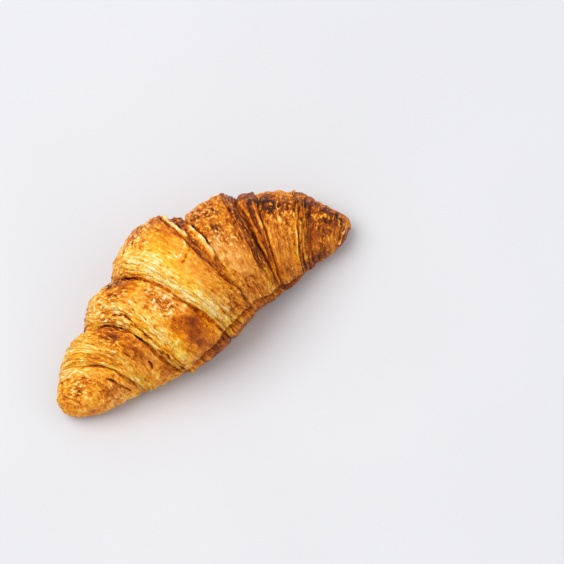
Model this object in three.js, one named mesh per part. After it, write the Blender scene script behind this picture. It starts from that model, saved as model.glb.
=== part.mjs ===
// A butter croissant: one baked crescent, rolled from a dough triangle and lying on its flat base.
// Millimetres, +Z up. X runs from tip to tip, +Y is the outside of the bend, -Y the inside,
// and the origin is the middle of the bounding box, on the base.
import * as THREE from "three";

// ---- driving dimensions ------------------------------------------------------
const TIP_TO_TIP = 148.2; // chord between the two tips
const BOW = [13.0, 9.0, 7.65]; // crescent of the centreline: depth, skew and fullness
const HALF_WIDTH = [6.1, 16.0, 22.2, 28.9, 31.9, 27.2, 24.4, 17.6, 8.7]; // half width, left tip to right tip
const HEIGHT = [11.0, 24.0, 35.0, 43.8, 48.8, 44.0, 36.8, 26.4, 14.5]; // section height, left tip to right tip
const BELLY = 0.42; // height of the widest point, as a share of the section height
const TIP_ROUND = 0.075; // share of the length taken by each rounded tip
const TIP_LIFT = 3.0; // how far the tips curl up from the tray
const BASE_CUT = 2.0; // the flat that the tray leaves under the roll
const FOOT_STEP = 1.1; // the wraps end this far out from the dough underneath them
const ROWS = 40; // facets around the section

// Angle round the section: 0 outside of the bend, 90 top, 180 inside, -90 and 270 the base.
const RIM = [-90, -20, 30, 60, 90, 120, 150, 180, 210, 270];
// Where each edge of the wrapped dough crosses the length (0 left tip, 1 right tip), at the angles in RIM
// (the two base entries are the mean of their neighbours).
const EDGES = {
  crease1: [0.058, 0.072, 0.096, 0.133, 0.177, 0.19, 0.203, 0.212],
  lip2: [0.108, 0.122, 0.155, 0.194, 0.22, 0.229, 0.232, 0.237],
  crease2: [0.18, 0.198, 0.212, 0.268, 0.301, 0.308, 0.327, 0.35],
  lip3: [0.222, 0.238, 0.252, 0.299, 0.32, 0.33, 0.346, 0.366],
  crease3: [0.335, 0.346, 0.371, 0.426, 0.459, 0.487, 0.503, 0.515],
  lip4: [0.383, 0.395, 0.416, 0.463, 0.503, 0.521, 0.53, 0.54],
  lip4right: [0.56, 0.562, 0.556, 0.566, 0.58, 0.597, 0.6, 0.602],
  flake4: [0.59, 0.59, 0.585, 0.592, 0.594, 0.603, 0.605, 0.607],
  crease4: [0.615, 0.613, 0.609, 0.614, 0.606, 0.609, 0.611, 0.613],
  lip5: [0.728, 0.728, 0.72, 0.719, 0.714, 0.704, 0.695, 0.69],
  crease5: [0.752, 0.752, 0.748, 0.752, 0.742, 0.742, 0.74, 0.738],
  crease6: [0.8, 0.798, 0.796, 0.786, 0.772, 0.758, 0.753, 0.751],
  lip6: [0.886, 0.887, 0.886, 0.884, 0.874, 0.862, 0.856, 0.852],
  crease7: [0.93, 0.925, 0.919, 0.917, 0.912, 0.904, 0.898, 0.894],
  lip8: [0.972, 0.972, 0.972, 0.972, 0.968, 0.965, 0.962, 0.96],
};
// The rows of the roll, left to right: [edge before, edge after, share between them,
// relief in mm on the outside, on top, on the inside, steps of mesh up to this row].
const STATIONS = [
  ["tipL", "crease1", 0.0, 0.0, 0.0, 0.0, 0],
  ["tipL", "crease1", 0.5, 0.2, 0.3, 0.3, 4],
  ["tipL", "crease1", 1.0, 0.1, -1.0, -1.1, 3],
  ["crease1", "lip2", 1.0, 1.5, 1.0, 0.6, 2],
  ["lip2", "crease2", 0.45, 0.2, 0.9, 0.9, 2],
  ["lip2", "crease2", 0.85, -1.6, -0.5, 0.1, 2],
  ["lip2", "crease2", 1.0, -2.7, -2.0, -0.9, 1],
  ["crease2", "lip3", 1.0, 1.2, 1.2, 0.6, 2],
  ["lip3", "crease3", 0.22, 2.8, 1.6, 0.8, 2],
  ["lip3", "crease3", 0.6, 0.4, 1.2, 0.7, 2],
  ["lip3", "crease3", 0.87, -1.6, -0.6, 0.0, 2],
  ["lip3", "crease3", 1.0, -3.8, -2.3, -1.0, 1],
  ["crease3", "lip4", 1.0, 0.9, 1.2, 0.6, 2],
  ["lip4", "lip4right", 0.5, 1.9, 1.0, 0.3, 3],
  ["lip4", "lip4right", 1.0, 1.6, 1.2, 0.5, 3],
  ["lip4right", "flake4", 1.0, -1.5, -0.8, -0.2, 1],
  ["flake4", "crease4", 1.0, -2.7, -2.1, -0.9, 1],
  ["crease4", "lip5", 0.18, -1.0, 0.0, 0.2, 2],
  ["crease4", "lip5", 0.6, 0.9, 1.2, 0.6, 3],
  ["crease4", "lip5", 1.0, 1.8, 1.3, 0.4, 3],
  ["lip5", "crease5", 1.0, -1.3, -2.0, -1.1, 2],
  ["crease5", "crease6", 0.5, -0.1, -0.6, -0.5, 1],
  ["crease5", "crease6", 1.0, -1.4, -1.7, -0.9, 1],
  ["crease6", "lip6", 0.35, -0.7, 0.8, 0.8, 2],
  ["crease6", "lip6", 0.7, 0.4, 1.1, 0.8, 2],
  ["crease6", "lip6", 1.0, 1.7, 0.8, 0.3, 2],
  ["lip6", "crease7", 1.0, -1.0, -1.1, -0.5, 3],
  ["crease7", "lip8", 1.0, -0.1, 0.5, 0.2, 3],
  ["lip8", "tipR", 1.0, 0.0, 0.0, 0.0, 4],
];
const RELIEF_AT = [-90, -30, 30, 95, 160, 210, 270]; // angles of the relief columns above

// ---- helpers -----------------------------------------------------------------
const RAD = Math.PI / 180;
const clamp01 = (x) => Math.min(1, Math.max(0, x));
const smooth = (a, b, x) => {
  const t = clamp01((x - a) / (b - a));
  return t * t * (3 - 2 * t);
};
// A smooth curve through (x, y) pairs, with the slope at each from its neighbours.
function curve(xs, ys, x) {
  const n = xs.length;
  let i = 0;
  while (i < n - 2 && x > xs[i + 1]) i++;
  const slope = (k) => {
    const a = Math.max(0, k - 1),
      b = Math.min(n - 1, k + 1);
    return (ys[b] - ys[a]) / (xs[b] - xs[a]);
  };
  const h = xs[i + 1] - xs[i],
    t = (x - xs[i]) / h,
    t2 = t * t,
    t3 = t2 * t;
  return (
    ys[i] * (2 * t3 - 3 * t2 + 1) +
    ys[i + 1] * (3 * t2 - 2 * t3) +
    h * (slope(i) * (t3 - 2 * t2 + t) + slope(i + 1) * (t3 - t2))
  );
}
const NINE = [0, 1, 2, 3, 4, 5, 6, 7, 8].map((i) => i / 8);
function edgeAt(name, deg) {
  if (name === "tipL") return 0;
  if (name === "tipR") return 1;
  const e = EDGES[name],
    under = (e[0] + e[7]) / 2;
  return curve(RIM, [under, ...e, under], deg);
}
function relief(station, deg) {
  const [, , , out, top, inn] = station;
  return curve(RELIEF_AT, [0, 0.7 * out, out, top, inn, 0.5 * inn, 0], deg);
}

// The centreline on the tray, left tip to right tip.
const spine = new THREE.CatmullRomCurve3(
  Array.from({ length: 33 }, (_, i) => {
    const t = (2 * i) / 32 - 1,
      m = 1 - t * t;
    return new THREE.Vector3(
      (TIP_TO_TIP / 2) * t,
      BOW[0] * m + BOW[1] * t * m + BOW[2] * t * t * m,
      0,
    );
  }),
  false,
  "catmullrom",
  0.5,
);

// A point of the crust at share s of the length and angle deg, raised by d mm.
function crust(s, deg, d) {
  const c = Math.cos(deg * RAD),
    n = Math.sin(deg * RAD);
  const w = curve(NINE, HALF_WIDTH, s),
    h = curve(NINE, HEIGHT, s);
  const toTip = Math.min(s, 1 - s);
  const cap =
    toTip < TIP_ROUND
      ? Math.pow(1 - Math.pow(1 - toTip / TIP_ROUND, 2.3), 1 / 2.3)
      : 1;
  const mid = BELLY * h;
  const foot =
    smooth(172, 176, deg) * (1 - smooth(205, 235, deg)) *
    smooth(0.34, 0.4, s) * (1 - smooth(0.83, 0.88, s));
  const r = (d - FOOT_STEP * foot) * smooth(0, 0.6, cap);
  const u = w * cap * Math.sign(c) * Math.pow(Math.abs(c), 0.9) + r * c;
  let z =
    mid + cap * (n > 0 ? (h - mid) * Math.pow(n, 0.95) : -mid * Math.pow(-n, 0.7)) +
    TIP_LIFT * Math.pow(Math.abs(2 * s - 1), 4);
  z += r * Math.max(n, 0);
  z = Math.max(0, z - BASE_CUT);
  const at = spine.getPoint(s),
    along = spine.getTangent(s);
  return new THREE.Vector3(at.x - u * along.y, at.y + u * along.x, z);
}

// ---- the loft: a sphere's mesh, with its rows laid along the edges of the wraps ----
const rows = [];
STATIONS.forEach((st, i) => {
  for (let k = 1; k <= st[6]; k++) {
    let f = k / st[6];
    if (i === 1) f = f * f; // finer towards the left tip
    if (i === STATIONS.length - 1) f = 1 - (1 - f) * (1 - f); // and towards the right one
    rows.push([i - 1, i, f]);
  }
});
rows.unshift([0, 0, 0]);
const at = (st, deg) => {
  const a = edgeAt(st[0], deg);
  return a + st[2] * (edgeAt(st[1], deg) - a);
};

const geometry = new THREE.SphereGeometry(1, ROWS, rows.length - 1);
const position = geometry.getAttribute("position"),
  uv = geometry.getAttribute("uv");
for (let i = 0; i < position.count; i++) {
  const row = Math.floor(i / (ROWS + 1)),
    round = i % (ROWS + 1);
  const deg = 270 - 360 * ((round % ROWS) / ROWS);
  const [a, b, f] = rows[row];
  const s = at(STATIONS[a], deg) * (1 - f) + at(STATIONS[b], deg) * f;
  const g = f * f * (3 - 2 * f);
  const d = relief(STATIONS[a], deg) * (1 - g) + relief(STATIONS[b], deg) * g;
  const end = row === 0 ? 0 : row === rows.length - 1 ? 1 : clamp01(s);
  const p = crust(end, deg, d);
  position.setXYZ(i, p.x, p.y, p.z);
}
uv.needsUpdate = true;
geometry.computeBoundingBox();
const box = geometry.boundingBox;
geometry.translate(
  -(box.min.x + box.max.x) / 2,
  -(box.min.y + box.max.y) / 2,
  -box.min.z,
);
geometry.computeVertexNormals();

const croissant = new THREE.Mesh(
  geometry,
  new THREE.MeshStandardMaterial({ color: 0xd18a2e, roughness: 0.5, metalness: 0 }),
);
croissant.name = "croissant";

const part = new THREE.Group();
part.name = "butter_croissant";
part.add(croissant);
export default part;
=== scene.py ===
import math

import bpy
import numpy as np
from mathutils import Matrix, Vector


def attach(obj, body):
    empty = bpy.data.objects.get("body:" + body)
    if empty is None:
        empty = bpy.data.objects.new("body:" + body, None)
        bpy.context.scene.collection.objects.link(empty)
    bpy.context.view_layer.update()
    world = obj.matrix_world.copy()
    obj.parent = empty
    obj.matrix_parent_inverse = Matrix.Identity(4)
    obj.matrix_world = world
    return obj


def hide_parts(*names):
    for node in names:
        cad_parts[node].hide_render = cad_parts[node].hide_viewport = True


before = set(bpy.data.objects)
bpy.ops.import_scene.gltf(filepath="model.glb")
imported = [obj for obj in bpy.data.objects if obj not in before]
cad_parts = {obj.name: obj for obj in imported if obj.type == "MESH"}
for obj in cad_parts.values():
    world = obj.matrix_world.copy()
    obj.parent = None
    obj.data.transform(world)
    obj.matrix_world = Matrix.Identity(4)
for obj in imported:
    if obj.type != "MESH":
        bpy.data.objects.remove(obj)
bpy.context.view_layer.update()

# ------------------------------------------------------------------------------
# One croissant. The wraps of dough are laid out in a grid whose columns follow the
# edges of the wraps (s: 0 left tip, 1 right tip) and whose rows go round the roll
# (angle: 0 outside of the bend, 90 top, 180 inside, -90 and 270 the base).
# Lengths below are in millimetres until the mesh is made.
# ------------------------------------------------------------------------------
TIP_TO_TIP = 148.2
BOW = (13.0, 9.0, 7.65)
HALF_WIDTH = (6.1, 16.0, 22.2, 28.9, 31.9, 27.2, 24.4, 17.6, 8.7)
HEIGHT = (11.0, 24.0, 35.0, 43.8, 48.8, 44.0, 36.8, 26.4, 14.5)
BELLY, TIP_ROUND, TIP_LIFT, BASE_CUT, FOOT_STEP = 0.42, 0.075, 3.0, 2.0, 1.1
CENTRE = np.array([0.738, 13.53, 0.0])  # middle of the part's box, from the spine's own frame

RIM = (-90, -20, 30, 60, 90, 120, 150, 180, 210, 270)
EDGES = {
    "crease1": (0.058, 0.072, 0.096, 0.133, 0.177, 0.19, 0.203, 0.212),
    "lip2": (0.108, 0.122, 0.155, 0.194, 0.22, 0.229, 0.232, 0.237),
    "crease2": (0.18, 0.198, 0.212, 0.268, 0.301, 0.308, 0.327, 0.35),
    "lip3": (0.222, 0.238, 0.252, 0.299, 0.32, 0.33, 0.346, 0.366),
    "crease3": (0.335, 0.346, 0.371, 0.426, 0.459, 0.487, 0.503, 0.515),
    "lip4": (0.383, 0.395, 0.416, 0.463, 0.503, 0.521, 0.53, 0.54),
    "lip4right": (0.56, 0.562, 0.556, 0.566, 0.58, 0.597, 0.6, 0.602),
    "flake4": (0.59, 0.59, 0.585, 0.592, 0.594, 0.603, 0.605, 0.607),
    "crease4": (0.615, 0.613, 0.609, 0.614, 0.606, 0.609, 0.611, 0.613),
    "lip5": (0.728, 0.728, 0.72, 0.719, 0.714, 0.704, 0.695, 0.69),
    "crease5": (0.752, 0.752, 0.748, 0.752, 0.742, 0.742, 0.74, 0.738),
    "crease6": (0.8, 0.798, 0.796, 0.786, 0.772, 0.758, 0.753, 0.751),
    "lip6": (0.886, 0.887, 0.886, 0.884, 0.874, 0.862, 0.856, 0.852),
    "crease7": (0.93, 0.925, 0.919, 0.917, 0.912, 0.904, 0.898, 0.894),
    "lip8": (0.972, 0.972, 0.972, 0.972, 0.968, 0.965, 0.962, 0.96),
}
# edge before, edge after, share, relief outside / top / inside (mm), columns of mesh
STATIONS = (
    ("tipL", "crease1", 0.0, 0.0, 0.0, 0.0, 0),
    ("tipL", "crease1", 0.5, 0.2, 0.3, 0.3, 24),
    ("tipL", "crease1", 1.0, 0.1, -1.0, -1.1, 30),
    ("crease1", "lip2", 1.0, 1.5, 1.0, 0.6, 26),
    ("lip2", "crease2", 0.45, 0.2, 0.9, 0.9, 14),
    ("lip2", "crease2", 0.85, -1.6, -0.5, 0.1, 12),
    ("lip2", "crease2", 1.0, -2.7, -2.0, -0.9, 10),
    ("crease2", "lip3", 1.0, 1.2, 1.2, 0.6, 22),
    ("lip3", "crease3", 0.22, 2.8, 1.6, 0.8, 13),
    ("lip3", "crease3", 0.6, 0.4, 1.2, 0.7, 20),
    ("lip3", "crease3", 0.87, -1.6, -0.6, 0.0, 14),
    ("lip3", "crease3", 1.0, -3.8, -2.3, -1.0, 10),
    ("crease3", "lip4", 1.0, 0.9, 1.2, 0.6, 20),
    ("lip4", "lip4right", 0.5, 1.9, 1.0, 0.3, 23),
    ("lip4", "lip4right", 1.0, 1.6, 1.2, 0.5, 26),
    ("lip4right", "flake4", 1.0, -1.5, -0.8, -0.2, 15),
    ("flake4", "crease4", 1.0, -2.7, -2.1, -0.9, 16),
    ("crease4", "lip5", 0.18, -1.0, 0.0, 0.2, 12),
    ("crease4", "lip5", 0.6, 0.9, 1.2, 0.6, 21),
    ("crease4", "lip5", 1.0, 1.8, 1.3, 0.4, 22),
    ("lip5", "crease5", 1.0, -1.3, -2.0, -1.1, 22),
    ("crease5", "crease6", 0.5, -0.1, -0.6, -0.5, 13),
    ("crease5", "crease6", 1.0, -1.4, -1.7, -0.9, 13),
    ("crease6", "lip6", 0.35, -0.7, 0.8, 0.8, 16),
    ("crease6", "lip6", 0.7, 0.4, 1.1, 0.8, 16),
    ("crease6", "lip6", 1.0, 1.7, 0.8, 0.3, 16),
    ("lip6", "crease7", 1.0, -1.0, -1.1, -0.5, 20),
    ("crease7", "lip8", 1.0, -0.1, 0.5, 0.2, 24),
    ("lip8", "tipR", 1.0, 0.0, 0.0, 0.0, 20),
)
RELIEF_AT = (-90, -30, 30, 95, 160, 210, 270)
ROUND_ROWS = 196


def curve(xs, ys, x):
    """A smooth curve through the points (xs, ys), read at x."""
    xs, ys, x = np.asarray(xs, float), np.asarray(ys, float), np.asarray(x, float)
    n = len(xs)
    slope = np.array(
        [
            (ys[min(n - 1, k + 1)] - ys[max(0, k - 1)])
            / (xs[min(n - 1, k + 1)] - xs[max(0, k - 1)])
            for k in range(n)
        ]
    )
    i = np.clip(np.searchsorted(xs, x, side="left") - 1, 0, n - 2)
    h = xs[i + 1] - xs[i]
    t = (x - xs[i]) / h
    t2, t3 = t * t, t * t * t
    return (
        ys[i] * (2 * t3 - 3 * t2 + 1)
        + ys[i + 1] * (3 * t2 - 2 * t3)
        + h * (slope[i] * (t3 - 2 * t2 + t) + slope[i + 1] * (t3 - t2))
    )


def smooth(a, b, x):
    t = np.clip((x - a) / (b - a), 0, 1)
    return t * t * (3 - 2 * t)


def bell(x, at, width):
    return np.exp(-(((x - at) / width) ** 2))


_table = np.random.RandomState(20).rand(256, 256)


def noise(x, y, seed=0):
    """Smooth value noise, 0 to 1, one lattice cell per unit."""
    x, y = np.asarray(x, float) + 311.7 * seed, np.asarray(y, float) + 173.3 * seed
    xi, yi = np.floor(x).astype(int), np.floor(y).astype(int)
    fx, fy = x - xi, y - yi
    fx, fy = fx * fx * (3 - 2 * fx), fy * fy * (3 - 2 * fy)
    a, b = _table[xi & 255, yi & 255], _table[(xi + 1) & 255, yi & 255]
    c, d = _table[xi & 255, (yi + 1) & 255], _table[(xi + 1) & 255, (yi + 1) & 255]
    return (a * (1 - fx) + b * fx) * (1 - fy) + (c * (1 - fx) + d * fx) * fy


def fbm(x, y, octaves=3, seed=0):
    """Sum of noises, about -1 to 1."""
    total, amount, size = 0.0, 1.0, 0.0
    for k in range(octaves):
        total = total + amount * (2 * noise(x * 2**k, y * 2**k, seed + 5 * k) - 1)
        size += amount
        amount *= 0.55
    return total / size * 1.35


# ---- the grid ----------------------------------------------------------------
# rows: closer together over the parts that show, wider under the base
_deg = np.linspace(-90, 270, 1441)
_density = 0.5 + 0.75 * smooth(-30, 20, _deg) * (1 - smooth(205, 225, _deg))
_cum = np.concatenate([[0], np.cumsum((_density[1:] + _density[:-1]) / 2)])
DEG = np.interp(np.arange(ROUND_ROWS) / ROUND_ROWS, _cum / _cum[-1], _deg)[:, None]


def edge(name, deg):
    if name == "tipL":
        return np.zeros_like(deg)
    if name == "tipR":
        return np.ones_like(deg)
    e = EDGES[name]
    under = (e[0] + e[7]) / 2
    k = sorted(EDGES).index(name)
    wobble = 0.0022 * fbm(deg / 17.0, 0 * deg + 3.1 * k, 3, 40)
    wobble = wobble * smooth(-80, -30, deg) * (1 - smooth(215, 262, deg))
    return curve(RIM, (under,) + e + (under,), deg) + wobble


columns, reliefs, column_of = [np.zeros_like(DEG)], [np.zeros_like(DEG)], {}
last_s, last_r = np.zeros_like(DEG), np.zeros_like(DEG)
for number, (before, after, share, out, top, inn, count) in enumerate(STATIONS):
    if number == 0:
        continue
    a = edge(before, DEG)
    s_here = a + share * (edge(after, DEG) - a)
    r_here = curve(RELIEF_AT, (0, 0.7 * out, out, top, inn, 0.5 * inn, 0), DEG)
    for k in range(1, count + 1):
        f = k / count
        if number == 1:
            f = f**1.7
        if number == len(STATIONS) - 1:
            f = 1 - (1 - f) ** 1.7
        g = f * f * (3 - 2 * f)
        columns.append(last_s * (1 - f) + s_here * f)
        reliefs.append(last_r * (1 - g) + r_here * g)
    if share == 1.0:
        column_of[after] = len(columns) - 1
    last_s, last_r = s_here, r_here
S = np.clip(np.concatenate(columns, 1), 0, 1)
R = np.concatenate(reliefs, 1)
ROWS, COLS = S.shape
DEG2 = np.broadcast_to(DEG, S.shape)


def crust(s, deg, d):
    c, n = np.cos(np.radians(deg)), np.sin(np.radians(deg))
    nine = np.linspace(0, 1, 9)
    w, h = curve(nine, HALF_WIDTH, s), curve(nine, HEIGHT, s)
    to_tip = np.minimum(s, 1 - s)
    cap = np.where(
        to_tip < TIP_ROUND,
        (1 - np.clip(1 - to_tip / TIP_ROUND, 0, 1) ** 2.3) ** (1 / 2.3),
        1.0,
    )
    mid = BELLY * h
    foot = (
        smooth(172, 176, deg)
        * (1 - smooth(205, 235, deg))
        * smooth(0.34, 0.4, s)
        * (1 - smooth(0.83, 0.88, s))
    )
    r = (d - FOOT_STEP * foot) * smooth(0, 0.6, cap)
    u = w * cap * np.sign(c) * np.abs(c) ** 0.9 + r * c
    z = (
        mid
        + cap * np.where(n > 0, (h - mid) * np.abs(n) ** 0.95, -mid * np.abs(n) ** 0.7)
        + TIP_LIFT * np.abs(2 * s - 1) ** 4
        + r * np.maximum(n, 0)
    )
    z = np.maximum(0, z - BASE_CUT)
    t = 2 * s - 1
    m = 1 - t * t
    x = TIP_TO_TIP / 2 * t
    y = BOW[0] * m + BOW[1] * t * m + BOW[2] * t * t * m
    dx = TIP_TO_TIP + 0 * t
    dy = 2 * (-2 * BOW[0] * t + BOW[1] * (1 - 3 * t * t) + BOW[2] * (2 * t - 4 * t**3))
    length = np.hypot(dx, dy)
    dx, dy = dx / length, dy / length
    return np.stack([x - u * dy, y + u * dx, z], -1) - CENTRE, cap


P, CAP = crust(S, DEG2, R)


def frame_of(p):
    """Unit normals (outwards) and unit directions along the length, at each point."""
    along = np.gradient(p, axis=1)
    around = np.concatenate([p[1:], p[:1]], 0) - np.concatenate([p[-1:], p[:-1]], 0)
    normal = np.cross(along, around)
    normal /= np.linalg.norm(normal, axis=-1, keepdims=True) + 1e-9
    centre = p.mean(0, keepdims=True)
    side = np.sign(((p - centre) * normal).sum(-1).mean())
    along = along / (np.linalg.norm(along, axis=-1, keepdims=True) + 1e-9)
    return normal * side, along


NORMAL, ALONG = frame_of(P)
# distance along the length at each angle, and round the roll from the top, in mm
LENGTH = np.concatenate(
    [np.zeros((ROWS, 1)), np.cumsum(np.linalg.norm(np.diff(P, axis=1), axis=-1), 1)], 1
)
step_round = np.linalg.norm(np.diff(P, axis=0), axis=-1)
GIRTH = np.concatenate([np.zeros((1, COLS)), np.cumsum(step_round, 0)], 0)
top_row = int(np.argmin(np.abs(DEG[:, 0] - 90)))
GIRTH = GIRTH - GIRTH[top_row][None]
kernel = np.ones(31) / 31
GIRTH = np.stack(
    [np.convolve(np.pad(g, 15, mode="edge"), kernel, mode="valid") for g in GIRTH]
)
ROLL = np.broadcast_to(LENGTH[top_row][None], S.shape)  # column lines, in mm along the top


def from_edge(name):
    """Signed distance from an edge line, in mm, positive towards the right tip."""
    return LENGTH - LENGTH[:, column_of[name]][:, None]


def angle_part(a, b, soft=12):
    return smooth(a - soft, a + soft, DEG2) * (1 - smooth(b - soft, b + soft, DEG2))


D = {name: from_edge(name) for name in column_of if name in EDGES}
LIFT = smooth(0.8, 5.0, P[..., 2]) * smooth(0.15, 0.8, CAP)  # no relief on the base

# ---- relief that the dough layers make ----------------------------------------
relief = np.zeros_like(S)
burnt_and_shaded = np.zeros_like(S)  # browned lines in the cuts, with painted shade in cuts, grooves, under lips and at the feet of layers
cream_and_highlight = np.zeros_like(S)  # freshly torn cream layers, and painted highlights on the rims of lips, flakes and edges


def cut(name, depth, width, where=1.0, shift=0.0, shade_and_burn=0.8, lean=1.0, wander=0.0):
    """A groove along an edge line, steeper on one side (lean), darkened inside with browning and painted shade."""
    global relief, burnt_and_shaded
    d = D[name] + shift + wander * fbm(GIRTH / 7, ROLL * 0 + 2.2, 3, 71)
    d = np.where(d > 0, d / lean, d * lean)
    amount = where * (0.65 + 0.5 * noise(GIRTH / 6, ROLL * 0 + shift, 11))
    relief = relief - depth * amount * np.exp(-((d / width) ** 2))
    burnt_and_shaded = np.maximum(burnt_and_shaded, shade_and_burn * amount * np.exp(-((d / (0.8 * width)) ** 2)))


def ridge(name, height, width, where=1.0, shift=0.0, shade=0.5):
    """A thin raised layer along an edge line, lightened along its top: a paler layer with a painted highlight."""
    global relief, cream_and_highlight
    d = D[name] + shift + 0.35 * fbm(GIRTH / 9, ROLL * 0 + shift, 2, 61)
    amount = where * (0.6 + 0.6 * noise(GIRTH / 8, ROLL * 0 + shift, 17))
    line = np.exp(-((d / width) ** 2))
    relief = relief + height * amount * line
    cream_and_highlight = np.maximum(cream_and_highlight, shade * amount * line)


HIDDEN = angle_part(-60, 34)  # these edges are drawn one by one where they show, further down
cut("crease1", 0.4, 0.5, HIDDEN, shade_and_burn=0.35)
cut("crease2", 1.0, 0.7, HIDDEN, shade_and_burn=0.8)
cut("crease2", 0.5, 0.8, angle_part(40, 230), shade_and_burn=0.25)
cut("crease3", 0.7, 0.8, angle_part(-60, 230), shade_and_burn=0.3)
cut("lip4right", 1.0, 0.55, HIDDEN, shift=-0.9, shade_and_burn=0.9)
cut("crease4", 1.3, 0.6, HIDDEN, shade_and_burn=0.9)
cut("crease5", 1.6, 0.75, HIDDEN, shade_and_burn=0.9)
cut("crease6", 1.0, 0.55, HIDDEN, shade_and_burn=0.8)
cut("lip6", 0.5, 0.45, HIDDEN, shift=1.6, shade_and_burn=0.5)
cut("crease7", 0.35, 0.9, angle_part(-60, 185), shade_and_burn=0.25)
ridge("flake4", 0.8, 1.1, HIDDEN, shift=-0.4, shade=0.6)
ridge("lip5", 0.4, 0.5, HIDDEN, shade=0.45)
ridge("crease6", 0.9, 0.6, HIDDEN, shift=1.4, shade=0.6)
ridge("lip6", 0.7, 0.55, HIDDEN, shift=0.2, shade=0.6)
LAYERED = np.zeros_like(S)


def lip(name, over, height, drop, reach, where=1.0, shift=0.0, shade_and_burn=0.7, rim=0.5, wander=0.7, seed=0):
    """The free edge of a wrap lying over the next one: raised on the side over (1 right, -1 left), sunk beyond it,
    the two a short step apart. Painted shadow darkens the sunk side under the edge and a thin line along it, and a
    painted highlight lightens the rim."""
    global relief, burnt_and_shaded, cream_and_highlight
    d = (D[name] + shift) * over + wander * fbm(GIRTH / 6, 0 * ROLL + seed + 0.7, 4, 240 + seed)
    amount = where * (0.6 + 0.6 * noise(GIRTH / 7, 0 * ROLL + seed, 250 + seed))
    side = smooth(-0.3, 0.3, d)
    up = height * np.exp(-np.maximum(d, 0) / reach)
    down = -drop * np.exp(-np.maximum(-d, 0) / (0.4 * reach))
    relief = relief + amount * (side * up + (1 - side) * down)
    burnt_and_shaded = np.maximum(burnt_and_shaded, shade_and_burn * amount * np.where(d < 0, np.exp(-((d / 0.75) ** 2)), np.exp(-((d / 0.25) ** 2))))
    cream_and_highlight = np.maximum(cream_and_highlight, rim * amount * bell(d, 0.55, 0.4))


lip("crease1", 1, 0.5, 0.5, 4.0, angle_part(-50, 215), shade_and_burn=0.35, rim=0.5, seed=1)
lip("crease1", 1, 0.35, 0.3, 2.5, angle_part(10, 200), shift=-3.2, shade_and_burn=0.35, rim=0.4, seed=2)
lip("crease2", 1, 0.9, 0.9, 4.0, angle_part(-60, 215), shade_and_burn=0.65, rim=0.4, seed=3)
lip("crease2", 1, 0.4, 0.4, 2.0, angle_part(-20, 180), shift=-2.2, shade_and_burn=0.45, rim=0.45, seed=4)
lip("crease3", 1, 1.0, 1.0, 4.5, angle_part(-60, 230), shade_and_burn=0.6, rim=0.35, seed=5)
lip("crease3", 1, 0.45, 0.35, 2.2, angle_part(-20, 200), shift=-2.4, shade_and_burn=0.35, rim=0.45, seed=6)
lip("crease4", -1, 0.9, 0.9, 3.5, angle_part(-60, 215), shade_and_burn=0.7, rim=0.6, seed=7)
lip("lip4right", -1, 0.6, 0.5, 4.0, angle_part(-40, 180), shift=-0.6, shade_and_burn=0.5, rim=0.5, seed=8)
lip("crease5", -1, 0.9, 1.0, 3.0, angle_part(-60, 215), shade_and_burn=0.75, rim=0.4, seed=9)
lip("crease6", -1, 0.6, 0.7, 2.4, angle_part(-50, 205), shade_and_burn=0.7, rim=0.6, seed=10)
lip("lip6", -1, 0.6, 0.6, 3.0, angle_part(-50, 205), shade_and_burn=0.5, rim=0.6, seed=11)
lip("crease7", -1, 0.4, 0.4, 2.5, angle_part(-40, 200), shade_and_burn=0.4, rim=0.3, seed=12)


def layers(name, start, stop, period, height, where=1.0, seed=0, flip=False):
    """Shingled layer edges beside an edge line, start to stop mm from it, pale near each top and darker at each foot
    with browning and painted shade.
    """
    global relief, burnt_and_shaded, cream_and_highlight, LAYERED
    d = D[name]
    zone = smooth(start - 0.8, start + 0.8, d) * (1 - smooth(stop - 2, stop + 2, d))
    zone = zone * where
    LAYERED = np.maximum(LAYERED, zone)
    x = d / period + 0.4 * fbm(GIRTH / 13, ROLL / 9, 3, 30 + seed)
    f = x - np.floor(x)
    if flip:
        f = 1 - f
    step = np.where(f < 0.78, f / 0.78, (1 - f) / 0.22)
    fade = 0.35 + 0.65 * noise(GIRTH / 9, np.floor(x) * 3.7, 50 + seed)
    relief = relief + 1.35 * height * (step - 0.5) * zone * fade
    cream_and_highlight = np.maximum(cream_and_highlight, 0.7 * zone * fade * bell(f, 0.64, 0.18))
    burnt_and_shaded = np.maximum(burnt_and_shaded, 0.56 * zone * fade * bell(f, 0.97, 0.08))


layers("crease1", 0.3, 13.0, 3.0, 0.4, 0.7 * angle_part(15, 125), 1, flip=True)
layers("crease1", 0.3, 7.0, 2.4, 0.4, 0.6 * angle_part(120, 215), 2, flip=True)
layers("crease2", 0.3, 11.0, 2.1, 0.6, angle_part(0, 140), 3, flip=True)
layers("crease2", 0.3, 5.0, 1.6, 0.35, angle_part(140, 215), 4, flip=True)
layers("crease3", 0.4, 9.0, 2.4, 0.55, angle_part(-20, 175), 5, flip=True)
layers("lip5", 0.2, 4.5, 1.5, 0.4, angle_part(0, 180), 6)
layers("lip6", -0.2, 6.5, 1.7, 0.35, angle_part(-10, 185), 7)


STRIPS = np.clip(LAYERED, 0, 1) * angle_part(20, 190)
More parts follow.
